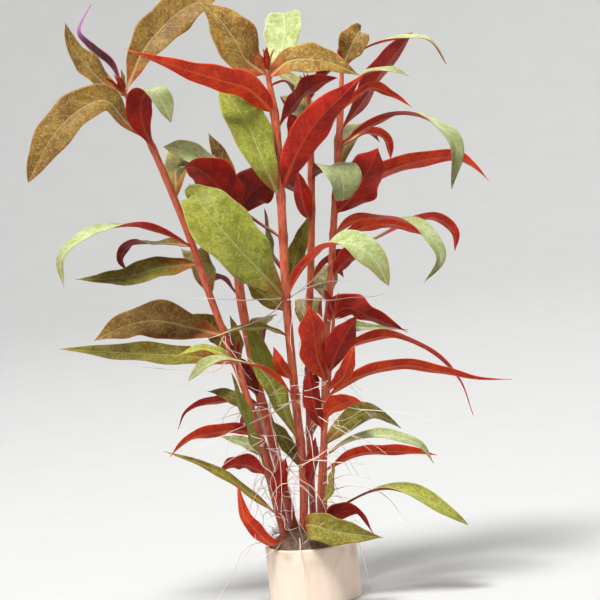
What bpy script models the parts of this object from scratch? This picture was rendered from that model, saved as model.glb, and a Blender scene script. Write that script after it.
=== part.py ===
"""Alternanthera reineckii, a bunch of red and olive aquarium stems, in its small clay pot.

Metres, +Z up, +X to the right and -Y towards the viewer. The origin is the centre of the pot's foot.
The tables give places in millimetres, as (x, y, z).
"""

import math

import bmesh
import bpy
import numpy as np
from mathutils import Matrix, Vector

MM = 0.001
GAP = 0.3 * MM

# Pot
POT_HEIGHT = 22 * MM
POT_FOOT_RADIUS = 17.9 * MM
POT_RIM_RADIUS = 17.6 * MM
POT_WALL = 1.6 * MM
POT_FLOOR = 2.5 * MM
POT_ROUNDING = 0.7 * MM
TURNED_STEPS = 32

# Plug of growing wool that holds the stems
PLUG_TOP = 27 * MM
PLUG_SHOULDER = 22 * MM
PLUG_DOME = ((0.5, 0.8), (0.85, 2.6))  # share of its top's radius, and millimetres below its top

# Leaves
LEAF_THICKNESS = 0.5 * MM
LEAF_STALK_HALF_WIDTH = 0.6 * MM
LEAF_TIP_HALF_WIDTH = 0.2 * MM
LEAF_CUP = 0.22
LEAF_SLENDERNESS = 2.15
LEAF_STEPS_BEYOND_PLACES = 2

STEM_STEP = 14 * MM
STEPS_BETWEEN_PLACES = 20

# Each stem: its radius, then the places its axis passes through, from the plug up.
STEMS = {
    "front": (1.7, ((-3, -5, 20), (0, -7, 50), (0, -9, 80), (0.5, -11, 117), (1.8, -12, 140),
                    (3, -13, 165), (3.4, -13, 185), (2.3, -12, 203))),
    "left": (1.4, ((-8, -1, 20), (-12, -1, 50), (-17, -2, 75), (-22.5, -3, 98), (-28, -4, 120),
                   (-33, -5, 142), (-38.5, -6, 162), (-44, -7, 180), (-50, -8, 196), (-52, -8, 201))),
    "right": (1.4, ((5, 2, 20), (8, 3, 50), (11, 5, 75), (14, 7, 98), (18, 8, 120), (22, 9, 145),
                    (26, 10, 168), (29, 10, 188), (31, 10, 202))),
    "back_left": (1.9, ((-5, 6, 20), (-9, 8, 50), (-13, 9, 75), (-15.5, 10, 98), (-17, 11, 120),
                        (-16, 11, 138), (-15, 11, 155))),
    "back_right": (1.4, ((1.5, 8.5, 20), (3, 11, 50), (5, 13, 75), (7.5, 15, 100), (11, 16, 125),
                         (14, 16, 150), (16, 16, 175), (17, 15, 193))),
    "short_left": (1.1, ((-9, -6, 20), (-12, -9, 40), (-14.5, -11, 60), (-17.5, -12, 80), (-20, -12, 97))),
    "short_right": (1.1, ((3, -8, 20), (6, -10, 45), (9.5, -12, 65), (13, -13, 85), (16, -13, 100),
                          (18, -13, 111))),
}

# Each leaf: the height where it leaves its stem, the places its midrib passes through, its greatest
# width, the share of its length where it is that wide, and how many degrees its upper face turns to
# the front, at its base and at its tip. Where that is less than nothing, the lower face shows.
LEAVES = {
    "front": (
        (201, ((-5, -15, 207), (-8, -16, 214), (-14, -14, 224), (-20, -12, 230)), 17, 0.44, 65, 65),
        (187, ((-5, -19, 196), (-15, -23, 200.5), (-28, -25, 206), (-49, -27, 215.7)), 11, 0.3, -60, -50),
        (200, ((12, -16, 205), (25, -17, 203), (36, -18, 197)), 12, 0.42, 60, 60),
        (155, ((-2.5, -18, 168), (-6.5, -15, 182), (-12, -11, 193), (-16, -8, 200)), 15, 0.58, 60, 60),
        (199, ((8, -6, 208), (10.5, -1, 217), (10.5, 4, 223), (10.5, 9, 222.5)), 15, 0.6, 0, 0),
        (140, ((-9, -11, 148), (-17, -10, 155), (-24, -8, 158)), 5, 0.44, 0, 0),
        (117, ((-6, -18, 126), (-15, -22, 138), (-24, -21, 151), (-30, -15, 159), (-32, -10, 157)),
         23, 0.58, 65, 60),
        (118, ((8, -18, 129), (16, -23, 135), (26, -27, 136), (34, -30, 130), (38.5, -32, 119.5)),
         13, 0.6, -35, 55),
        (158, ((11, -20, 172), (20, -23, 183), (30, -25, 191), (37, -26, 197)), 13, 0.46, -60, -60),
        (62, ((-6, -12, 78), (-10.5, -12, 92), (-13.5, -12, 103), (-15, -9, 108)), 10, 0.6, 60, 60),
        (80, ((-7, -20, 89), (-14, -23, 94.5), (-24, -25, 97.5), (-32, -27, 96.5), (-38.5, -29, 92)),
         8, 0.64, -20, 25),
        (30, ((2, -16, 31), (9, -21, 29), (17, -24, 27.5), (27, -26, 25.5)), 11, 0.42, 70, 70),
    ),
    "left": (
        (199, ((-58, -8, 203), (-65, -8, 212), (-69.5, -8, 220), (-70.5, -8, 228)), 10, 0.45, 50, 50),
        (200, ((-55, -3, 209), (-61, -1, 216), (-67, 1, 224), (-61, 4, 234)), 8, 0.4, -60, -60),
        (200, ((-47.5, -5, 207), (-43.5, -3, 214), (-36, 0, 222), (-26, 3, 229), (-12, 6, 234)),
         16, 0.58, 60, 60),
        (181, ((-52, -13, 189), (-58.5, -16, 197.5), (-69, -19, 194.5), (-79, -22, 186), (-89.5, -23, 170.5)),
         15, 0.58, 55, 55),
        (178, ((-46, -13, 189), (-44.5, -17, 198), (-39, -21, 198.5), (-34.6, -24, 187)), 12, 0.55, 0, 0),
        (140, ((-44, -11, 147), (-56, -15, 150.5), (-70, -20, 149), (-80, -24, 142), (-80.5, -27, 131)),
         8, 0.5, -35, 45),
        (140, ((-46, 0, 142), (-57, 4, 142), (-61, 7, 137), (-59, 9, 132)), 8, 0.44, 30, -40),
        (133, ((-45, -9, 133), (-60, -11, 131), (-77, -13, 132.5)), 10, 0.4, 50, 50),
        (105, ((-36, 2, 108), (-50, 7, 112), (-62, 10, 111), (-75, 12, 106.5)), 15, 0.5, 60, 60),
        (94, ((-36, -7, 98), (-52, -9, 101), (-70, -10, 104), (-87, -10, 107)), 10, 0.42, 45, 45),
    ),
    "right": (
        (201, ((33, 8, 205), (36, 6, 210), (38.5, 8, 213.5), (39, 12, 213)), 11, 0.56, 60, 60),
        (201, ((41, 13, 207.5), (55, 13, 209.5), (65, 11, 207.5), (70.5, 9, 198)), 5, 0.6, 0, 20),
        (177, ((38, 19, 188), (46, 23, 198), (54, 27, 206), (60, 30, 211.5)), 13, 0.56, -60, -60),
        (190, ((38, 3, 197), (48, -1, 198), (55, -4, 195)), 6, 0.5, 10, 25),
        (172, ((39, 4, 178), (50, -2, 181), (61, -8, 177.5), (69, -13, 168), (66, -17, 151.5)),
         9, 0.56, -35, 25),
        (152, ((42, 13, 159), (55, 15, 162), (70, 16, 162.5), (77, 16, 158.5), (83, 15, 151.5)),
         9, 0.4, -50, -50),
        (146, ((30, 6, 152), (35, 5, 159), (39, 4, 165), (41, 4, 169)), 18, 0.52, -55, -55),
        (138, ((29, 3, 142.5), (40, -3, 143), (50, -9, 140), (57, -14, 134), (59, -18, 126), (52, -20, 118)),
         9, 0.45, -45, 35),
        (134, ((33, 10, 139.5), (45, 12, 139), (57, 13, 133)), 8, 0.44, -45, -45),
        (125, ((35, 17, 133), (50, 21, 138), (61, 23, 139.5), (68, 23, 133), (67.5, 22, 125.5)),
         8, 0.55, 15, -45),
        (106, ((23, 2, 110), (33, -3, 105.5), (45, -6, 99)), 13, 0.34, -55, -50),
        (90, ((25, 0, 96), (38, -5, 98), (52, -10, 91.5), (62, -13, 80), (66, -14, 66)), 8, 0.4, -35, -20),
    ),
    "back_left": (
        (153, ((-22, 11, 166), (-30, 9, 174), (-40, 7, 178)), 12, 0.56, 50, 50),
        (145, ((-19, 1, 158), (-25, -4, 167), (-31, -7, 170), (-36, -9, 165)), 17, 0.5, -55, -10),
        (149, ((-10, 6, 156), (-4, 4, 160), (3, 3, 163)), 17, 0.5, -60, -60),
        (75, ((-22, 6, 78.5), (-33, 4, 79), (-42, 2, 76.5), (-46, 1, 70.5)), 7, 0.4, -35, -30),
    ),
    "back_right": (
        (160, ((20, 5, 163), (24, -3, 164), (26, -8, 160), (26, -9, 153), (25.5, -6, 151)),
         15, 0.62, 0, 0),
        (148, ((7, 22, 158), (-3, 27, 164), (-12, 30, 163)), 12, 0.44, -50, -50),
        (190, ((22, 19, 197), (30, 22, 203)), 8, 0.44, -50, -50),
    ),
    "short_left": (
        (58, ((-18, -17, 68), (-20.5, -19, 79), (-22.5, -18, 92)), 10, 0.46, 60, 60),
        (67, ((-24, -14, 70), (-33, -16, 70), (-42, -17, 68.5), (-49, -18, 63)), 7, 0.4, -50, -50),
        (51, ((-19, -10, 55), (-25, -10, 56.5), (-32, -9, 54)), 9, 0.42, -50, -50),
        (36, ((-18, -12, 42), (-28, -14, 51.5), (-38, -15, 58.5), (-51, -16, 65)), 5, 0.44, 40, 40),
        (25, ((-14.5, -12, 25), (-19, -15, 30), (-23.5, -17, 38), (-25, -17, 51)), 5.5, 0.4, -50, -50),
    ),
    "short_right": (
        (84, ((9.5, -18, 95), (9.5, -21, 105), (8.5, -22, 114)), 13, 0.56, -60, -60),
        (88, ((17, -16, 95), (21.5, -17, 102), (26, -16, 108)), 11, 0.5, -60, -60),
        (79, ((22, -12, 84), (32, -15, 87), (43, -17, 88), (55, -19, 84.5), (68, -20, 80.5), (81, -21, 79)),
         7, 0.36, -45, -45),
        (70, ((13, -17, 74), (20, -23, 77.5), (25, -27, 76.5)), 11, 0.58, -30, -30),
        (56, ((20, -14, 62), (34, -17, 62), (44, -19, 58), (49, -20, 50.5)), 6, 0.5, 15, 40),
    ),
}

# These leaves are as those above, and made in one with their stem.
SMALL_LEAVES = {
    "front": (
        (119, ((6, -4, 132), (12, 0, 146)), 7, 0.5, 40, 40),
        (181, ((12, -10, 190), (19, -9, 195), (28, -8, 197)), 11, 0.55, -40, -40),
        (103, ((-8, -16, 107), (-17, -17, 108), (-27, -16, 106)), 5, 0.44, 25, 25),
        (127, ((-4, -6, 136), (-4, -3, 151)), 9, 0.5, -50, -50),
        (112, ((-6, -6, 117), (-14, -3, 124)), 9, 0.5, 40, 40),
        (86, ((-4, -17, 92), (-6, -18, 100)), 5, 0.5, -40, -40),
        (52, ((-5, -8, 61), (-10, -6, 71)), 7, 0.5, 40, 40),
        (44, ((4, -8, 53), (6, -7, 63)), 6, 0.5, -50, -50),
        (197, ((9, -14, 197.5), (12, -15, 191)), 5, 0.5, 0, 0),
    ),
    "left": (
        (120, ((-30, 8, 128), (-34, 22, 136), (-38, 38, 132)), 10, 0.44, 0, 0),
        (158, ((-36, 7, 168), (-34, 21, 175), (-32, 36, 168)), 10, 0.44, 0, 0),
        (98, ((-29, 10, 107), (-40, 14, 112)), 9, 0.5, 55, 55),
    ),
    "right": (
        (112, ((16, 20, 118), (19, 34, 124), (24, 48, 118)), 10, 0.44, 0, 0),
        (160, ((30, 22, 172), (36, 36, 178), (44, 50, 170)), 10, 0.44, 0, 0),
        (185, ((40, 12, 192), (48, 12, 189), (56, 12, 183)), 5, 0.44, -45, -45),
        (171, ((38, 13, 175), (45, 14, 172), (46, 14, 164)), 7, 0.5, 10, -45),
        (96, ((24, 10, 101), (34, 12, 100), (46, 13, 98)), 6, 0.3, 35, 35),
        (122, ((26, 5, 129), (36, 3, 135)), 8, 0.5, -50, -50),
    ),
    "back_left": (
        (152, ((-17, 17, 165), (-20, 21, 174), (-23, 24, 181)), 7, 0.5, 50, 50),
        (118, ((-24, 17, 125), (-33, 22, 124)), 6, 0.44, -40, -40),
        (97, ((-10, 18, 106), (-4, 26, 108)), 9, 0.44, 0, 0),
        (135, ((-18, 22, 145), (-22, 36, 150), (-28, 50, 142)), 11, 0.44, 0, 0),
        (60, ((-14, 20, 68), (-18, 34, 70), (-24, 46, 62)), 9, 0.44, 0, 0),
        (88, ((-11, 4, 97), (-8, 1, 107)), 8, 0.5, 40, 40),
        (78, ((-18, 6, 88), (-23, 6, 97)), 7, 0.5, -50, -50),
    ),
    "back_right": (
        (191, ((10, 22, 199), (4, 28, 203)), 9, 0.44, 0, 0),
        (122, ((20, 20, 128), (33, 25, 127)), 7, 0.44, -40, -40),
        (175, ((14, 28, 186), (10, 40, 192), (8, 52, 186)), 10, 0.44, 0, 0),
        (100, ((8, 28, 108), (10, 42, 111), (14, 54, 102)), 10, 0.44, 0, 0),
        (60, ((8, 24, 68), (14, 38, 71), (20, 50, 64)), 9, 0.44, 0, 0),
        (168, ((12, 12, 176), (9, 9, 186)), 8, 0.5, -50, -50),
        (72, ((6, 7, 80), (6, 1, 91)), 8, 0.5, -50, -50),
        (143, ((11, 12, 150), (10, 14, 163)), 7, 0.5, -50, -50),
    ),
    "short_left": (
        (76, ((-22, -6, 80), (-28, -3, 83), (-33, -2, 84)), 6, 0.44, 40, 40),
        (94, ((-27, -15, 100), (-34, -16, 102), (-43, -15, 100)), 5, 0.44, 30, 30),
        (95, ((-20, -13, 104), (-21, -13, 113)), 6, 0.44, 60, 60),
        (58, ((-20, -7, 63), (-30, -6, 67)), 5, 0.44, 40, 40),
        (40, ((-9, -12, 48), (-6, -13, 57)), 6, 0.5, -45, -45),
    ),
    "short_right": (
        (50, ((20, -9, 55), (36, -10, 55), (51, -11, 52)), 7, 0.5, -45, -45),
        (60, ((18, -2, 66), (28, 2, 69), (39, 4, 61.5)), 9, 0.5, 45, 45),
        (28, ((14, -13, 37), (29, -16, 42), (45, -19, 37), (59.5, -21, 26)), 9, 0.58, -30, 45),
        (29, ((12, -12, 34), (18, -15, 34.5), (24, -18, 26)), 8, 0.42, -60, -40),
        (66, ((6.5, -16, 77), (6, -17, 91)), 7, 0.5, -50, -50),
        (38, ((10, -15, 44), (12, -16, 54)), 7, 0.5, 60, 60),
        (81, ((19, -20, 87), (24, -23, 98)), 6, 0.5, -40, -40),
    ),
}

CLAY = ((0.80, 0.62, 0.50), 0.65)
WOOL = ((0.42, 0.27, 0.15), 0.95)
STEM_RED = ((0.55, 0.10, 0.07), 0.45)
LEAF_RED = ((0.42, 0.03, 0.02), 0.5)
LEAF_OLIVE = ((0.28, 0.27, 0.06), 0.5)


def material(name, finish):
    colour, roughness = finish
    made = bpy.data.materials.get(name) or bpy.data.materials.new(name)
    made.use_nodes = True
    shader = made.node_tree.nodes["Principled BSDF"]
    shader.inputs["Base Color"].default_value = (*colour, 1)
    shader.inputs["Roughness"].default_value = roughness
    shader.inputs["Metallic"].default_value = 0
    return made


def collection(name):
    made = bpy.data.collections.new(name)
    bpy.context.scene.collection.children.link(made)
    return made


def place(name, mesh, group, finish=None):
    made = bpy.data.objects.new(name, mesh)
    group.objects.link(made)
    if finish:
        mesh.materials.append(finish)
    return made


def hide(helper):
    helper.hide_render = True
    helper.display_type = "WIRE"
    return helper


def smooth_path(points, count):
    """count + 1 places, evenly spaced along the smooth curve through the points."""
    ends = [points[0] * 2 - points[1], *points, points[-1] * 2 - points[-2]]
    dense = []
    for before, start, end, after in zip(ends, ends[1:], ends[2:], ends[3:]):
        for step in range(STEPS_BETWEEN_PLACES):
            t = step / STEPS_BETWEEN_PLACES
            dense.append(
                0.5 * (2 * start + (end - before) * t
                       + (2 * before - 5 * start + 4 * end - after) * t**2
                       + (3 * start - before - 3 * end + after) * t**3))
    dense.append(points[-1])
    lengths = [0.0]
    for start, end in zip(dense, dense[1:]):
        lengths.append(lengths[-1] + (end - start).length)
    wanted = np.linspace(0, lengths[-1], count + 1)
    along = [np.interp(wanted, lengths, [place[axis] for place in dense]) for axis in range(3)]
    return [Vector(place) for place in zip(*along)]


def stem_path(stem):
    points = [Vector(place) * MM for place in STEMS[stem][1]]
    length = sum((end - start).length for start, end in zip(points, points[1:]))
    return smooth_path(points, round(length / STEM_STEP))


def stem_at(stem, height):
    """The stem's axis and its direction at this height."""
    path = stem_path(stem)
    for start, end in zip(path, path[1:]):
        if end.z >= height:
            break
    share = min(1, (height - start.z) / (end.z - start.z))
    return start.lerp(end, share), (end - start).normalized()


def tube(name, path, radius, group):
    """A mesh tube with closed ends along the path."""
    curve = bpy.data.curves.new(name, "CURVE")
    curve.dimensions = "3D"
    curve.bevel_depth = radius
    curve.bevel_resolution = 2
    curve.use_fill_caps = True
    spline = curve.splines.new("POLY")
    spline.points.add(len(path) - 1)
    for point, at in zip(spline.points, path):
        point.co = (*at, 1)
    guide = place(name, curve, group)
    bpy.context.view_layer.update()
    evaluated = guide.evaluated_get(bpy.context.evaluated_depsgraph_get())
    mesh = bpy.data.meshes.new_from_object(evaluated)
    bm = bmesh.new()
    bm.from_mesh(mesh)
    bmesh.ops.remove_doubles(bm, verts=bm.verts, dist=0.01 * MM)
    bm.to_mesh(mesh)
    bm.free()
    bpy.data.objects.remove(guide)
    mesh.shade_smooth()
    return place(name, mesh, group)


def blade_half_width(t, widest, widest_at):
    """The blade's half width at this share of the leaf: from a stalk, through its widest, to a point."""
    rise = LEAF_SLENDERNESS * widest_at
    taper = LEAF_SLENDERNESS * (1 - widest_at)
    shape = (t / widest_at) ** rise * ((1 - t) / (1 - widest_at)) ** taper
    least = LEAF_STALK_HALF_WIDTH * (1 - t) + LEAF_TIP_HALF_WIDTH * t
    return max(least, widest * shape)


def leaf(name, stem, row, fused, group):
    """A cupped blade on the smooth midrib through the row's places, thickened."""
    height, places, width, widest_at, base_turn, tip_turn = row
    axis, upward = stem_at(stem, height * MM)
    points = [Vector(place) * MM for place in places]
    outward = points[0] - axis
    outward = (outward - outward.dot(upward) * upward).normalized()
    clearance = STEMS[stem][0] * MM + GAP + LEAF_STALK_HALF_WIDTH + LEAF_THICKNESS / 2
    base = axis if fused else axis + outward * clearance
    steps = len(places) + LEAF_STEPS_BEYOND_PLACES
    path = smooth_path([base, *points], steps)
    reach = path[-1] - path[0]
    across = Vector((-reach.y, reach.x, 0)).normalized()
    hand = 1 if reach.x >= 0 else -1

    bm = bmesh.new()
    bmesh.ops.create_grid(bm, x_segments=steps, y_segments=2, size=0.5)
    for corner in bm.verts:
        step = round((corner.co.x + 0.5) * steps)
        t = step / steps
        roll = math.radians(base_turn + (tip_turn - base_turn) * t) * hand
        side = corner.co.y * 2
        along = (path[min(step + 1, steps)] - path[max(step - 1, 0)]).normalized()
        width_way = (across - across.dot(along) * along).normalized()
        width_way = Matrix.Rotation(roll, 3, along) @ width_way
        upper = along.cross(width_way)
        half = blade_half_width(t, width * MM / 2, widest_at)
        corner.co = path[step] + width_way * side * half + upper * abs(side) * half * LEAF_CUP
    mesh = bpy.data.meshes.new(name)
    bm.to_mesh(mesh)
    bm.free()
    mesh.shade_smooth()
    made = place(name, mesh, group)
    thicken = made.modifiers.new("Thickness", "SOLIDIFY")
    thicken.thickness = LEAF_THICKNESS
    thicken.offset = 0
    return made


def turned(name, profile, group, finish):
    """A body turned about the Z axis from a profile of (radius, height), outer side downwards."""
    mesh = bpy.data.meshes.new(name)
    edges = [(i, i + 1) for i in range(len(profile) - 1)]
    mesh.from_pydata([(radius, 0, height) for radius, height in profile], edges, [])
    made = place(name, mesh, group, finish)
    screw = made.modifiers.new("Turn", "SCREW")
    screw.steps = TURNED_STEPS
    screw.render_steps = TURNED_STEPS
    screw.use_merge_vertices = True
    screw.merge_threshold = 0.0001
    return made


def pot(group):
    inner_rim = POT_RIM_RADIUS - POT_WALL
    inner_foot = POT_FOOT_RADIUS - POT_WALL
    profile = (
        (0, POT_FLOOR),
        (inner_foot, POT_FLOOR),
        (inner_rim, POT_HEIGHT - POT_ROUNDING),
        (inner_rim + POT_ROUNDING, POT_HEIGHT),
        (POT_RIM_RADIUS - POT_ROUNDING, POT_HEIGHT),
        (POT_RIM_RADIUS, POT_HEIGHT - POT_ROUNDING),
        (POT_FOOT_RADIUS, POT_ROUNDING),
        (POT_FOOT_RADIUS - POT_ROUNDING, 0),
        (0, 0),
    )
    return turned("pot", profile, group, material("clay", CLAY))


def plug(group, cutters):
    """The plug fills the pot, rises above its rim, and has a hole for each stem."""
    radius = POT_RIM_RADIUS - POT_WALL - GAP
    profile = (
        (0, PLUG_TOP),
        *((share * radius, PLUG_TOP - drop * MM) for share, drop in PLUG_DOME),
        (radius, PLUG_SHOULDER - POT_ROUNDING),
        (radius, POT_FLOOR + GAP),
        (0, POT_FLOOR + GAP),
    )
    made = turned("growing_plug", profile, group, material("wool", WOOL))
    for stem, (radius, _) in STEMS.items():
        path = stem_path(stem)
        first = (path[0] - path[1]).normalized()
        hole = [path[0] + first * GAP, *path[1:3]]
        cutter = hide(tube("hole_" + stem, hole, radius * MM + GAP, cutters))
        bore = made.modifiers.new("Hole " + stem, "BOOLEAN")
        bore.operation = "DIFFERENCE"
        bore.object = cutter
    return made


def stem_with_small_leaves(stem, group, helpers):
    made = tube("stem_" + stem, stem_path(stem), STEMS[stem][0] * MM, group)
    made.data.materials.append(material("stem", STEM_RED))
    for number, row in enumerate(SMALL_LEAVES[stem], 1):
        name = f"small_leaf_{stem}_{number}"
        small = hide(leaf(name, stem, row, True, helpers))
        join = made.modifiers.new(name, "BOOLEAN")
        join.operation = "UNION"
        join.object = small
    return made


def main():
    for old in list(bpy.data.objects):
        bpy.data.objects.remove(old)
    group = collection("Alternanthera reineckii")
    helpers = collection("Cutters and joined leaves")
    pot(group)
    plug(group, helpers)
    for stem in STEMS:
        stem_with_small_leaves(stem, group, helpers)
        for number, row in enumerate(LEAVES[stem], 1):
            made = leaf(f"leaf_{stem}_{number}", stem, row, False, group)
            shows_red = row[4] < 0
            made.data.materials.append(
                material("leaf_red", LEAF_RED) if shows_red else material("leaf_olive", LEAF_OLIVE))


main()
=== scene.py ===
"""The looks of the potted Alternanthera: veined leaves, jointed stems, water roots, the wool plug and the clay pot.

Metres, +Z up, +X to the right, -Y towards the viewer. The tables give places in millimetres, and
repeat those that the solids were made from, so each leaf lies on its own solid.
"""

import math
import random

import bpy
import numpy as np
from mathutils import Matrix, Vector, noise


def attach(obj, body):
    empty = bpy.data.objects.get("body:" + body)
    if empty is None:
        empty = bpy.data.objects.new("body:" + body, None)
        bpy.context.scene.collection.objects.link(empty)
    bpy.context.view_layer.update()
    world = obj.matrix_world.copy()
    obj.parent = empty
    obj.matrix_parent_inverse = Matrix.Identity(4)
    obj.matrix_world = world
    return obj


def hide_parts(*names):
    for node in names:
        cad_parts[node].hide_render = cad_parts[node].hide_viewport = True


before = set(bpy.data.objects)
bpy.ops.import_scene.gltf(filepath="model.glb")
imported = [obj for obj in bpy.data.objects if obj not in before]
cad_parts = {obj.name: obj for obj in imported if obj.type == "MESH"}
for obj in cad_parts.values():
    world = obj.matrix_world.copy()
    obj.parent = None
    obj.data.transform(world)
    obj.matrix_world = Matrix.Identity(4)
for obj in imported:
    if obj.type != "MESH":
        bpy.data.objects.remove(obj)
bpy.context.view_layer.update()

MM = 0.001

# Each stem: its radius, then the places its axis passes through, from the plug up.
STEMS = {
    "front": (1.7, ((-3, -5, 20), (0, -7, 50), (0, -9, 80), (0.5, -11, 117), (1.8, -12, 140),
                    (3, -13, 165), (3.4, -13, 185), (2.3, -12, 203))),
    "left": (1.4, ((-8, -1, 20), (-12, -1, 50), (-17, -2, 75), (-22.5, -3, 98), (-28, -4, 120),
                   (-33, -5, 142), (-38.5, -6, 162), (-44, -7, 180), (-50, -8, 196), (-52, -8, 201))),
    "right": (1.4, ((5, 2, 20), (8, 3, 50), (11, 5, 75), (14, 7, 98), (18, 8, 120), (22, 9, 145),
                    (26, 10, 168), (29, 10, 188), (31, 10, 202))),
    "back_left": (1.9, ((-5, 6, 20), (-9, 8, 50), (-13, 9, 75), (-15.5, 10, 98), (-17, 11, 120),
                        (-16, 11, 138), (-15, 11, 155))),
    "back_right": (1.4, ((1.5, 8.5, 20), (3, 11, 50), (5, 13, 75), (7.5, 15, 100), (11, 16, 125),
                         (14, 16, 150), (16, 16, 175), (17, 15, 193))),
    "short_left": (1.1, ((-9, -6, 20), (-12, -9, 40), (-14.5, -11, 60), (-17.5, -12, 80), (-20, -12, 97))),
    "short_right": (1.1, ((3, -8, 20), (6, -10, 45), (9.5, -12, 65), (13, -13, 85), (16, -13, 100),
                          (18, -13, 111))),
}

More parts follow.
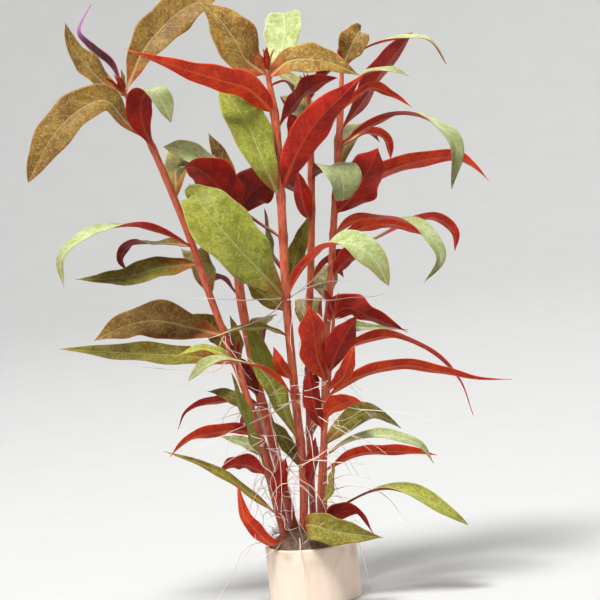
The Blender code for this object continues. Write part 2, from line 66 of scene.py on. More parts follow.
# Each leaf: the height where it leaves its stem, the places its midrib passes through, its greatest
# width, the share of its length where it is that wide, and how many degrees its upper face turns to
# the front, at its base and at its tip. Where that is less than nothing, the lower face shows.
LEAVES = {
    "front": (
        (201, ((-5, -15, 207), (-8, -16, 214), (-14, -14, 224), (-20, -12, 230)), 17, 0.44, 65, 65),
        (187, ((-5, -19, 196), (-15, -23, 200.5), (-28, -25, 206), (-49, -27, 215.7)), 11, 0.3, -60, -50),
        (200, ((12, -16, 205), (25, -17, 203), (36, -18, 197)), 12, 0.42, 60, 60),
        (155, ((-2.5, -18, 168), (-6.5, -15, 182), (-12, -11, 193), (-16, -8, 200)), 15, 0.58, 60, 60),
        (199, ((8, -6, 208), (10.5, -1, 217), (10.5, 4, 223), (10.5, 9, 222.5)), 15, 0.6, 0, 0),
        (140, ((-9, -11, 148), (-17, -10, 155), (-24, -8, 158)), 5, 0.44, 0, 0),
        (117, ((-6, -18, 126), (-15, -22, 138), (-24, -21, 151), (-30, -15, 159), (-32, -10, 157)),
         23, 0.58, 65, 60),
        (118, ((8, -18, 129), (16, -23, 135), (26, -27, 136), (34, -30, 130), (38.5, -32, 119.5)),
         13, 0.6, -35, 55),
        (158, ((11, -20, 172), (20, -23, 183), (30, -25, 191), (37, -26, 197)), 13, 0.46, -60, -60),
        (62, ((-6, -12, 78), (-10.5, -12, 92), (-13.5, -12, 103), (-15, -9, 108)), 10, 0.6, 60, 60),
        (80, ((-7, -20, 89), (-14, -23, 94.5), (-24, -25, 97.5), (-32, -27, 96.5), (-38.5, -29, 92)),
         8, 0.64, -20, 25),
        (30, ((2, -16, 31), (9, -21, 29), (17, -24, 27.5), (27, -26, 25.5)), 11, 0.42, 70, 70),
    ),
    "left": (
        (199, ((-58, -8, 203), (-65, -8, 212), (-69.5, -8, 220), (-70.5, -8, 228)), 10, 0.45, 50, 50),
        (200, ((-55, -3, 209), (-61, -1, 216), (-67, 1, 224), (-61, 4, 234)), 8, 0.4, -60, -60),
        (200, ((-47.5, -5, 207), (-43.5, -3, 214), (-36, 0, 222), (-26, 3, 229), (-12, 6, 234)),
         16, 0.58, 60, 60),
        (181, ((-52, -13, 189), (-58.5, -16, 197.5), (-69, -19, 194.5), (-79, -22, 186), (-89.5, -23, 170.5)),
         15, 0.58, 55, 55),
        (178, ((-46, -13, 189), (-44.5, -17, 198), (-39, -21, 198.5), (-34.6, -24, 187)), 12, 0.55, 0, 0),
        (140, ((-44, -11, 147), (-56, -15, 150.5), (-70, -20, 149), (-80, -24, 142), (-80.5, -27, 131)),
         8, 0.5, -35, 45),
        (140, ((-46, 0, 142), (-57, 4, 142), (-61, 7, 137), (-59, 9, 132)), 8, 0.44, 30, -40),
        (133, ((-45, -9, 133), (-60, -11, 131), (-77, -13, 132.5)), 10, 0.4, 50, 50),
        (105, ((-36, 2, 108), (-50, 7, 112), (-62, 10, 111), (-75, 12, 106.5)), 15, 0.5, 60, 60),
        (94, ((-36, -7, 98), (-52, -9, 101), (-70, -10, 104), (-87, -10, 107)), 10, 0.42, 45, 45),
    ),
    "right": (
        (201, ((33, 8, 205), (36, 6, 210), (38.5, 8, 213.5), (39, 12, 213)), 11, 0.56, 60, 60),
        (201, ((41, 13, 207.5), (55, 13, 209.5), (65, 11, 207.5), (70.5, 9, 198)), 5, 0.6, 0, 20),
        (177, ((38, 19, 188), (46, 23, 198), (54, 27, 206), (60, 30, 211.5)), 13, 0.56, -60, -60),
        (190, ((38, 3, 197), (48, -1, 198), (55, -4, 195)), 6, 0.5, 10, 25),
        (172, ((39, 4, 178), (50, -2, 181), (61, -8, 177.5), (69, -13, 168), (66, -17, 151.5)),
         9, 0.56, -35, 25),
        (152, ((42, 13, 159), (55, 15, 162), (70, 16, 162.5), (77, 16, 158.5), (83, 15, 151.5)),
         9, 0.4, -50, -50),
        (146, ((30, 6, 152), (35, 5, 159), (39, 4, 165), (41, 4, 169)), 18, 0.52, -55, -55),
        (138, ((29, 3, 142.5), (40, -3, 143), (50, -9, 140), (57, -14, 134), (59, -18, 126), (52, -20, 118)),
         9, 0.45, -45, 35),
        (134, ((33, 10, 139.5), (45, 12, 139), (57, 13, 133)), 8, 0.44, -45, -45),
        (125, ((35, 17, 133), (50, 21, 138), (61, 23, 139.5), (68, 23, 133), (67.5, 22, 125.5)),
         8, 0.55, 15, -45),
        (106, ((23, 2, 110), (33, -3, 105.5), (45, -6, 99)), 13, 0.34, -55, -50),
        (90, ((25, 0, 96), (38, -5, 98), (52, -10, 91.5), (62, -13, 80), (66, -14, 66)), 8, 0.4, -35, -20),
    ),
    "back_left": (
        (153, ((-22, 11, 166), (-30, 9, 174), (-40, 7, 178)), 12, 0.56, 50, 50),
        (145, ((-19, 1, 158), (-25, -4, 167), (-31, -7, 170), (-36, -9, 165)), 17, 0.5, -55, -10),
        (149, ((-10, 6, 156), (-4, 4, 160), (3, 3, 163)), 17, 0.5, -60, -60),
        (75, ((-22, 6, 78.5), (-33, 4, 79), (-42, 2, 76.5), (-46, 1, 70.5)), 7, 0.4, -35, -30),
    ),
    "back_right": (
        (160, ((20, 5, 163), (24, -3, 164), (26, -8, 160), (26, -9, 153), (25.5, -6, 151)),
         15, 0.62, 0, 0),
        (148, ((7, 22, 158), (-3, 27, 164), (-12, 30, 163)), 12, 0.44, -50, -50),
        (190, ((22, 19, 197), (30, 22, 203)), 8, 0.44, -50, -50),
    ),
    "short_left": (
        (58, ((-18, -17, 68), (-20.5, -19, 79), (-22.5, -18, 92)), 10, 0.46, 60, 60),
        (67, ((-24, -14, 70), (-33, -16, 70), (-42, -17, 68.5), (-49, -18, 63)), 7, 0.4, -50, -50),
        (51, ((-19, -10, 55), (-25, -10, 56.5), (-32, -9, 54)), 9, 0.42, -50, -50),
        (36, ((-18, -12, 42), (-28, -14, 51.5), (-38, -15, 58.5), (-51, -16, 65)), 5, 0.44, 40, 40),
        (25, ((-14.5, -12, 25), (-19, -15, 30), (-23.5, -17, 38), (-25, -17, 51)), 5.5, 0.4, -50, -50),
    ),
    "short_right": (
        (84, ((9.5, -18, 95), (9.5, -21, 105), (8.5, -22, 114)), 13, 0.56, -60, -60),
        (88, ((17, -16, 95), (21.5, -17, 102), (26, -16, 108)), 11, 0.5, -60, -60),
        (79, ((22, -12, 84), (32, -15, 87), (43, -17, 88), (55, -19, 84.5), (68, -20, 80.5), (81, -21, 79)),
         7, 0.36, -45, -45),
        (70, ((13, -17, 74), (20, -23, 77.5), (25, -27, 76.5)), 11, 0.58, -30, -30),
        (56, ((20, -14, 62), (34, -17, 62), (44, -19, 58), (49, -20, 50.5)), 6, 0.5, 15, 40),
    ),
}

# These leaves are as those above, and made in one with their stem.
SMALL_LEAVES = {
    "front": (
        (119, ((6, -4, 132), (12, 0, 146)), 7, 0.5, 40, 40),
        (181, ((12, -10, 190), (19, -9, 195), (28, -8, 197)), 11, 0.55, -40, -40),
        (103, ((-8, -16, 107), (-17, -17, 108), (-27, -16, 106)), 5, 0.44, 25, 25),
        (127, ((-4, -6, 136), (-4, -3, 151)), 9, 0.5, -50, -50),
        (112, ((-6, -6, 117), (-14, -3, 124)), 9, 0.5, 40, 40),
        (86, ((-4, -17, 92), (-6, -18, 100)), 5, 0.5, -40, -40),
        (52, ((-5, -8, 61), (-10, -6, 71)), 7, 0.5, 40, 40),
        (44, ((4, -8, 53), (6, -7, 63)), 6, 0.5, -50, -50),
        (197, ((9, -14, 197.5), (12, -15, 191)), 5, 0.5, 0, 0),
    ),
    "left": (
        (120, ((-30, 8, 128), (-34, 22, 136), (-38, 38, 132)), 10, 0.44, 0, 0),
        (158, ((-36, 7, 168), (-34, 21, 175), (-32, 36, 168)), 10, 0.44, 0, 0),
        (98, ((-29, 10, 107), (-40, 14, 112)), 9, 0.5, 55, 55),
    ),
    "right": (
        (112, ((16, 20, 118), (19, 34, 124), (24, 48, 118)), 10, 0.44, 0, 0),
        (160, ((30, 22, 172), (36, 36, 178), (44, 50, 170)), 10, 0.44, 0, 0),
        (185, ((40, 12, 192), (48, 12, 189), (56, 12, 183)), 5, 0.44, -45, -45),
        (171, ((38, 13, 175), (45, 14, 172), (46, 14, 164)), 7, 0.5, 10, -45),
        (96, ((24, 10, 101), (34, 12, 100), (46, 13, 98)), 6, 0.3, 35, 35),
        (122, ((26, 5, 129), (36, 3, 135)), 8, 0.5, -50, -50),
    ),
    "back_left": (
        (152, ((-17, 17, 165), (-20, 21, 174), (-23, 24, 181)), 7, 0.5, 50, 50),
        (118, ((-24, 17, 125), (-33, 22, 124)), 6, 0.44, -40, -40),
        (97, ((-10, 18, 106), (-4, 26, 108)), 9, 0.44, 0, 0),
        (135, ((-18, 22, 145), (-22, 36, 150), (-28, 50, 142)), 11, 0.44, 0, 0),
        (60, ((-14, 20, 68), (-18, 34, 70), (-24, 46, 62)), 9, 0.44, 0, 0),
        (88, ((-11, 4, 97), (-8, 1, 107)), 8, 0.5, 40, 40),
        (78, ((-18, 6, 88), (-23, 6, 97)), 7, 0.5, -50, -50),
    ),
    "back_right": (
        (191, ((10, 22, 199), (4, 28, 203)), 9, 0.44, 0, 0),
        (122, ((20, 20, 128), (33, 25, 127)), 7, 0.44, -40, -40),
        (175, ((14, 28, 186), (10, 40, 192), (8, 52, 186)), 10, 0.44, 0, 0),
        (100, ((8, 28, 108), (10, 42, 111), (14, 54, 102)), 10, 0.44, 0, 0),
        (60, ((8, 24, 68), (14, 38, 71), (20, 50, 64)), 9, 0.44, 0, 0),
        (168, ((12, 12, 176), (9, 9, 186)), 8, 0.5, -50, -50),
        (72, ((6, 7, 80), (6, 1, 91)), 8, 0.5, -50, -50),
        (143, ((11, 12, 150), (10, 14, 163)), 7, 0.5, -50, -50),
    ),
    "short_left": (
        (76, ((-22, -6, 80), (-28, -3, 83), (-33, -2, 84)), 6, 0.44, 40, 40),
        (94, ((-27, -15, 100), (-34, -16, 102), (-43, -15, 100)), 5, 0.44, 30, 30),
        (95, ((-20, -13, 104), (-21, -13, 113)), 6, 0.44, 60, 60),
        (58, ((-20, -7, 63), (-30, -6, 67)), 5, 0.44, 40, 40),
        (40, ((-9, -12, 48), (-6, -13, 57)), 6, 0.5, -45, -45),
    ),
    "short_right": (
        (50, ((20, -9, 55), (36, -10, 55), (51, -11, 52)), 7, 0.5, -45, -45),
        (60, ((18, -2, 66), (28, 2, 69), (39, 4, 61.5)), 9, 0.5, 45, 45),
        (28, ((14, -13, 37), (29, -16, 42), (45, -19, 37), (59.5, -21, 26)), 9, 0.58, -30, 45),
        (29, ((12, -12, 34), (18, -15, 34.5), (24, -18, 26)), 8, 0.42, -60, -40),
        (66, ((6.5, -16, 77), (6, -17, 91)), 7, 0.5, -50, -50),
        (38, ((10, -15, 44), (12, -16, 54)), 7, 0.5, 60, 60),
        (81, ((19, -20, 87), (24, -23, 98)), 6, 0.5, -40, -40),
    ),
}

# Finish of each leaf, in the order of LEAVES: its upper face, then its lower face. The tone also paints light:
# paler tones for lit faces, darker ones for faces in shade.
FACES = {
    "front": ("bronze crimson", "bronze scarlet", "bronze crimson", "lime wine", "pale crimson", "olive wine",
              "lime crimson", "pale scarlet", "olive crimson", "lime wine", "pale scarlet", "olive wine"),
    "left": ("bronze wine", "olive violet", "bronze wine", "bronze wine", "pale crimson", "pale crimson",
             "olive wine", "olive wine", "bronze wine", "olive wine"),
    "right": ("bronze crimson", "pale crimson", "olive crimson", "pale scarlet", "pale crimson", "olive scarlet",
              "pale crimson", "pale scarlet", "olive scarlet", "pale scarlet", "olive crimson", "bronze scarlet"),
    "back_left": ("pale wine", "pale crimson", "olive wine", "olive crimson"),
    "back_right": ("pale wine", "olive wine", "olive crimson"),
    "short_left": ("lime wine", "olive scarlet", "olive crimson", "olive wine", "olive scarlet"),
    "short_right": ("olive scarlet", "olive crimson", "olive scarlet", "pale scarlet", "pale wine"),
}
# As FACES, for SMALL_LEAVES: the paler tones partly paint light, and the darker ones partly paint shade.
SMALL_FACES = {
    "front": ("olive wine", "olive crimson", "olive wine", "olive wine", "olive wine", "olive scarlet",
              "olive crimson", "olive crimson", "bronze crimson"),
    "left": ("olive crimson", "olive wine", "olive wine"),
    "right": ("olive wine", "olive crimson", "olive scarlet", "pale scarlet", "pale wine", "olive crimson"),
    "back_left": ("bronze wine", "olive wine", "olive crimson", "olive wine", "olive crimson", "olive wine",
                  "olive wine"),
    "back_right": ("olive wine", "olive crimson", "olive wine", "olive crimson", "olive wine", "olive crimson",
                   "olive wine", "olive crimson"),
    "short_left": ("olive wine", "lime wine", "bronze wine", "pale wine", "olive crimson"),
    "short_right": ("olive scarlet", "olive wine", "lime wine", "olive crimson", "olive crimson", "olive wine",
                    "olive scarlet"),
}

# Linear colours of each finish: the blade, its mottling, its veins. Pale, lime and scarlet partly hold painted
# light, and olive, bronze and wine partly hold painted shade.
TONES = {
    "pale": ((0.50, 0.58, 0.27), (0.36, 0.43, 0.14), (0.68, 0.71, 0.46)),
    "lime": ((0.42, 0.45, 0.055), (0.27, 0.28, 0.028), (0.60, 0.62, 0.24)),
    "olive": ((0.29, 0.26, 0.028), (0.17, 0.125, 0.012), (0.46, 0.43, 0.14)),
    "bronze": ((0.37, 0.22, 0.035), (0.21, 0.10, 0.014), (0.58, 0.46, 0.20)),
    "scarlet": ((0.74, 0.055, 0.008), (0.52, 0.020, 0.005), (0.80, 0.20, 0.06)),
    "crimson": ((0.50, 0.018, 0.005), (0.28, 0.006, 0.003), (0.66, 0.09, 0.03)),
    "wine": ((0.25, 0.008, 0.004), (0.12, 0.004, 0.002), (0.42, 0.05, 0.025)),
    "violet": ((0.20, 0.010, 0.014), (0.10, 0.005, 0.008), (0.46, 0.12, 0.30)),
}
VIOLET_TIP = (0.50, 0.16, 0.46)
UPPER_TONES = ("pale", "lime", "olive", "bronze")
STEM_COLOUR = (0.56, 0.080, 0.028)
# The pale streak colour is a painted highlight on the stems.
STEM_HIGHLIGHT_STREAK = (0.74, 0.21, 0.10)
STEM_DARK = (0.26, 0.010, 0.007)

# Leaves
LEAF_MIDDLE_THICKNESS = 0.38 * MM
LEAF_EDGE_THICKNESS = 0.12 * MM
LEAF_SPACING = 1.1 * MM
LEAF_ROWS_ACROSS = 14
LEAF_STALK_HALF_WIDTH = 0.55 * MM
LEAF_TIP_HALF_WIDTH = 0.1 * MM
LEAF_CUP = 0.22
LEAF_SLENDERNESS = 2.15
RIB_HALF_WIDTH = 0.55 * MM
RIB_DEPTH = 0.35 * MM
SIDE_VEIN_SPACING = 4.2 * MM
SIDE_VEIN_SLANT = 0.9
SIDE_VEIN_STRENGTH = 0.22
QUILT_HEIGHT = 0.09 * MM
QUILTED_HALF_WIDTH = 4 * MM
EDGE_UNEVENNESS = 0.05

# Stems
STEM_SPACING = 1.2 * MM
STEM_SIDES = 16
JOINT_SWELL = 0.15
JOINT_MERGE = 10 * MM
JOINT_HALF_LENGTH = 1.8 * MM
BETWEEN_JOINTS = 17 * MM

# Studio and camera
FLOOR_RADIUS = 1.3
COVE_RADIUS = 0.8
COVE_STEPS = 16
WALL_HEIGHT = 1.6
CAMERA_DISTANCE = 0.9
CAMERA_TILT = math.radians(5)
CAMERA_ROLL = math.radians(6)
PICTURE_WIDTH = 0.228
PICTURE_CENTRE = Vector((0.0056, 0, 0.1148))


def seeded(name):
    """Random numbers that are the same each run, and differ from piece to piece."""
    return random.Random(sum(ord(letter) * (place + 7) for place, letter in enumerate(name)))


class Nodes:
    """A material's node tree, with short calls for the nodes that the finishes share."""

    def __init__(self, name):
        self.material = bpy.data.materials.new(name)
        self.material.use_nodes = True
        self.tree = self.material.node_tree
        self.shader = self.tree.nodes["Principled BSDF"]

    def add(self, kind, values=(), **settings):
        node = self.tree.nodes.new(kind)
        for setting, value in settings.items():
            setattr(node, setting, value)
        for socket, value in dict(values).items():
            if isinstance(value, bpy.types.NodeSocket):
                self.tree.links.new(value, node.inputs[socket])
            else:
                node.inputs[socket].default_value = value
        return node

    def math(self, operation, first, second=0.0, third=0.0):
        values = {0: first, 1: second, 2: third}
        return self.add("ShaderNodeMath", values, operation=operation).outputs[0]

    def ramp(self, value, low, high, start=0.0, end=1.0):
        """start below low, end above high, and a smooth change between."""
        values = {"Value": value, "From Min": low, "From Max": high, "To Min": start, "To Max": end}
        return self.add("ShaderNodeMapRange", values, interpolation_type="SMOOTHSTEP").outputs[0]

    def mix(self, share, first, second):
        node = self.add("ShaderNodeMix", data_type="RGBA")
        for socket, value in ((0, share), (6, first), (7, second)):
            if isinstance(value, bpy.types.NodeSocket):
                self.tree.links.new(value, node.inputs[socket])
            else:
                node.inputs[socket].default_value = value if socket == 0 else (*value, 1)
        return node.outputs[2]

    def noise(self, scale, detail=2.0, place=None):
        place = place or self.add("ShaderNodeTexCoord").outputs["Object"]
        values = {"Vector": place, "Scale": scale, "Detail": detail}
        return self.add("ShaderNodeTexNoise", values).outputs["Fac"]

    def attribute(self, name):
        vector = self.add("ShaderNodeAttribute", attribute_name=name).outputs["Vector"]
        return self.add("ShaderNodeSeparateXYZ", {0: vector}).outputs

    def finish(self, colour, roughness, height=None, depth=0.0001, **shader):
        for socket, value in (("Base Color", colour), ("Roughness", roughness)):
            if isinstance(value, bpy.types.NodeSocket):
                self.tree.links.new(value, self.shader.inputs[socket])
            else:
                self.shader.inputs[socket].default_value = value
        if height:
            bump = self.add("ShaderNodeBump", {"Height": height, "Distance": depth, "Strength": 1.0})
            self.tree.links.new(bump.outputs[0], self.shader.inputs["Normal"])
        for socket, value in shader.items():
            self.shader.inputs[socket.replace("_", " ")].default_value = value
        return self.material


def leaf_finish(tone):
    """A mottled blade with a clear midrib, faint side veins that run forward, and a thin pale edge."""
    blade, mottle, vein = TONES[tone]
    upper = tone in UPPER_TONES
    nodes = Nodes("leaf_" + tone)
    along, across, _ = nodes.attribute("blade_mm")
    share, edge, mood = nodes.attribute("blade_share")
    side = nodes.math("ABSOLUTE", across)
    patches = nodes.noise(160, 2)
    grain = nodes.noise(1500, 3)
    fleck = nodes.noise(700, 2)
    wander = nodes.math("MULTIPLY", nodes.math("SUBTRACT", patches, 0.5), 0.5)
    place = nodes.math("MULTIPLY_ADD", side, -SIDE_VEIN_SLANT, along)
    place = nodes.math("MULTIPLY_ADD", place, MM / SIDE_VEIN_SPACING, wander)
    from_vein = nodes.math("PINGPONG", place, 0.5)
    side_veins = nodes.math("MULTIPLY", nodes.ramp(from_vein, 0.01, 0.09, 1, 0), nodes.ramp(edge, 0.4, 0.95, 1, 0))
    narrowed = nodes.math("MULTIPLY", side, nodes.ramp(share, 0, 0.9, 0.62, 2.6))
    midrib = nodes.ramp(narrowed, 0.15, 0.65, 1, 0)
    cells = nodes.add("ShaderNodeTexVoronoi", {"Scale": 900.0}, feature="DISTANCE_TO_EDGE").outputs["Distance"]
    colour = nodes.mix(nodes.ramp(patches, 0.38, 0.66), blade, mottle)
    speckle = nodes.math("MULTIPLY", nodes.ramp(grain, 0.45, 0.68), 0.55 if upper else 0.3)
    colour = nodes.mix(speckle, colour, mottle)
    flecks = nodes.math("MULTIPLY", nodes.ramp(fleck, 0.5, 0.6), 0.55 if upper else 0.35)
    colour = nodes.mix(flecks, colour, tuple(0.75 * part for part in mottle))
    glints = nodes.math("MULTIPLY", nodes.ramp(nodes.noise(1100, 2), 0.54, 0.66), 0.4 if upper else 0.15)
    colour = nodes.mix(glints, colour, vein)
    if upper:
        blush = nodes.math("MULTIPLY", nodes.ramp(share, 0.0, 0.32, 1, 0), 0.65)
        colour = nodes.mix(blush, colour, TONES["scarlet"][1])
        browned = nodes.ramp(share, 0.62, 1.0, 0, 0.55) if tone == "pale" else nodes.math(
            "MULTIPLY", nodes.ramp(share, 0.82, 1.0, 0, 0.7), nodes.ramp(mood, 0.2, 0.6))
        colour = nodes.mix(browned, colour, TONES["olive"][1])
    if tone == "violet":
        colour = nodes.mix(nodes.ramp(share, 0.5, 0.78, 0, 0.85), colour, VIOLET_TIP)
    colour = nodes.mix(nodes.math("MULTIPLY", side_veins, SIDE_VEIN_STRENGTH), colour, vein)
    colour = nodes.mix(nodes.math("MULTIPLY", midrib, 0.6), colour, vein)
    colour = nodes.mix(nodes.ramp(edge, 0.92, 1.0, 0, 0.5), colour, vein)
    bright = nodes.math("MULTIPLY_ADD", mood, 0.3, 0.82)
    colour = nodes.add("ShaderNodeHueSaturation", {"Value": bright, "Color": colour}).outputs[0]
    veins = nodes.math("MAXIMUM", midrib, nodes.math("MULTIPLY", side_veins, 0.7))
    height = nodes.math("MULTIPLY_ADD", veins, -0.8 if upper else 0.8, nodes.math("MULTIPLY", grain, 0.35))
    height = nodes.math("MULTIPLY_ADD", nodes.ramp(cells, 0.0, 0.08), 0.25, height)
    roughness = nodes.ramp(grain, 0.3, 0.7, 0.36, 0.52)
    return nodes.finish(colour, roughness, height, 0.00022, Subsurface_Weight=0.3, Subsurface_Scale=0.0008,
                        Subsurface_Radius=(1.0, 0.3, 0.1), Specular_IOR_Level=0.25)


def stem_finish():
    """Salmon red with long pale streaks of painted highlight, darker at the joints."""
    nodes = Nodes("stem_skin")
    along, around, joint = nodes.attribute("stem_place")
    stretched = nodes.add("ShaderNodeCombineXYZ", {0: nodes.math("MULTIPLY", along, 0.05), 1: around}).outputs[0]
    streaks = nodes.noise(5.0, 3, stretched)
    patches = nodes.noise(90, 2)
    # The pale streaks paint highlights along the stems.
    colour = nodes.mix(nodes.ramp(streaks, 0.40, 0.66), STEM_COLOUR, STEM_HIGHLIGHT_STREAK)
    colour = nodes.mix(nodes.math("MULTIPLY", nodes.ramp(patches, 0.45, 0.7), 0.4), colour, STEM_DARK)
    up = nodes.add("ShaderNodeSeparateXYZ", {0: nodes.add("ShaderNodeTexCoord").outputs["Object"]}).outputs[2]
    colour = nodes.mix(nodes.ramp(up, 0.02, 0.09, 0.45, 0), colour, STEM_DARK)
    colour = nodes.mix(nodes.math("MULTIPLY", joint, 0.4), colour, STEM_DARK)
    height = nodes.math("MULTIPLY_ADD", streaks, 1.0, nodes.math("MULTIPLY", nodes.noise(1800, 2), 0.3))
    return nodes.finish(colour, nodes.ramp(streaks, 0.3, 0.7, 0.24, 0.36), height, 0.0002,
                        Subsurface_Weight=0.2, Subsurface_Scale=0.001, Subsurface_Radius=(1.0, 0.3, 0.2),
                        Specular_IOR_Level=0.5)


def root_finish():
    nodes = Nodes("root_threads")
    patches = nodes.noise(70, 2)
    colour = nodes.mix(nodes.ramp(patches, 0.4, 0.65), (0.86, 0.76, 0.68), (0.72, 0.46, 0.36))
    return nodes.finish(colour, nodes.ramp(patches, 0.3, 0.7, 0.35, 0.5), Subsurface_Weight=0.3,
                        Subsurface_Scale=0.0008, Subsurface_Radius=(1.0, 0.7, 0.5))


def clay_finish():
    """Cream clay with faint upright streaks, a fine tooth, and a little staining under the rim."""
    nodes = Nodes("pale_clay")
    place = nodes.add("ShaderNodeTexCoord").outputs["Object"]
    tall = nodes.add("ShaderNodeMapping", {"Vector": place, "Scale": (1, 1, 0.12)}).outputs[0]
    streaks = nodes.noise(180, 4, tall)
    tooth = nodes.noise(1600, 3)
    up = nodes.add("ShaderNodeSeparateXYZ", {0: place}).outputs[2]
    colour = nodes.mix(nodes.ramp(streaks, 0.3, 0.8), (0.90, 0.75, 0.62), (0.84, 0.66, 0.52))
    stain = nodes.math("MULTIPLY", nodes.ramp(up, 0.012, 0.022), nodes.ramp(nodes.noise(110, 3), 0.42, 0.62))
    colour = nodes.mix(nodes.math("MULTIPLY", stain, 0.5), colour, (0.52, 0.33, 0.20))
    colour = nodes.mix(nodes.ramp(tooth, 0.6, 0.75, 0, 0.25), colour, (0.64, 0.46, 0.34))
    height = nodes.math("MULTIPLY_ADD", streaks, 0.6, nodes.math("MULTIPLY", tooth, 0.5))
    return nodes.finish(colour, nodes.ramp(tooth, 0.3, 0.7, 0.5, 0.7), height, 0.0002,
                        Subsurface_Weight=0.15, Subsurface_Scale=0.002, Subsurface_Radius=(1.0, 0.6, 0.4))


def wool_finish():
    nodes = Nodes("brown_wool")
    clumps = nodes.noise(350, 4)
    threads = nodes.add("ShaderNodeTexVoronoi", {"Scale": 1300.0}).outputs["Distance"]
    colour = nodes.mix(nodes.ramp(clumps, 0.35, 0.7), (0.56, 0.37, 0.23), (0.30, 0.17, 0.09))
    colour = nodes.mix(nodes.ramp(threads, 0.0, 0.4, 0.55, 0), colour, (0.62, 0.46, 0.32))
    height = nodes.math("ADD", clumps, nodes.math("MULTIPLY", threads, 0.7))
    return nodes.finish(colour, 0.95, height, 0.0008)


def smooth_path(points, count):
    """count + 1 places, evenly spaced along the smooth curve through the points."""
    ends = [points[0] * 2 - points[1], *points, points[-1] * 2 - points[-2]]
    dense = []
    for before, start, end, after in zip(ends, ends[1:], ends[2:], ends[3:]):
        for step in range(20):
            t = step / 20
            dense.append(
                0.5 * (2 * start + (end - before) * t
                       + (2 * before - 5 * start + 4 * end - after) * t**2
                       + (3 * start - before - 3 * end + after) * t**3))
    dense.append(points[-1])
    lengths = np.concatenate([[0], np.cumsum([(b - a).length for a, b in zip(dense, dense[1:])])])
    wanted = np.linspace(0, lengths[-1], count + 1)
    along = [np.interp(wanted, lengths, [place[axis] for place in dense]) for axis in range(3)]
    return [Vector(place) for place in zip(*along)], lengths[-1]


def stem_line(stem):
    return [Vector(place) * MM for place in STEMS[stem][1]]


def stem_at(stem, height):
    """The stem's axis and its direction at this height."""
    path, _ = smooth_path(stem_line(stem), 60)
    for start, end in zip(path, path[1:]):
        if end.z >= height:
            break
    share = min(1, (height - start.z) / (end.z - start.z))
    return start.lerp(end, share), (end - start).normalized()


def blade_half_width(t, widest, widest_at):
    """The blade's half width at this share of the leaf: from a stalk, through its widest, to a point."""
    rise = LEAF_SLENDERNESS * widest_at
    taper = LEAF_SLENDERNESS * (1 - widest_at)
    shape = (t / widest_at) ** rise * ((1 - t) / (1 - widest_at)) ** taper
    least = LEAF_STALK_HALF_WIDTH * (1 - t) + LEAF_TIP_HALF_WIDTH * t
    return max(least, widest * shape)


def add_vectors(mesh, name, rows):
    attribute = mesh.attributes.new(name, "FLOAT_VECTOR", "POINT")
    attribute.data.foreach_set("vector", np.asarray(rows, np.float32).ravel())


def piece(name, mesh):
    made = bpy.data.objects.new(name, mesh)
    bpy.context.scene.collection.objects.link(made)
    mesh.shade_smooth()
    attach(made, "root")
    return made


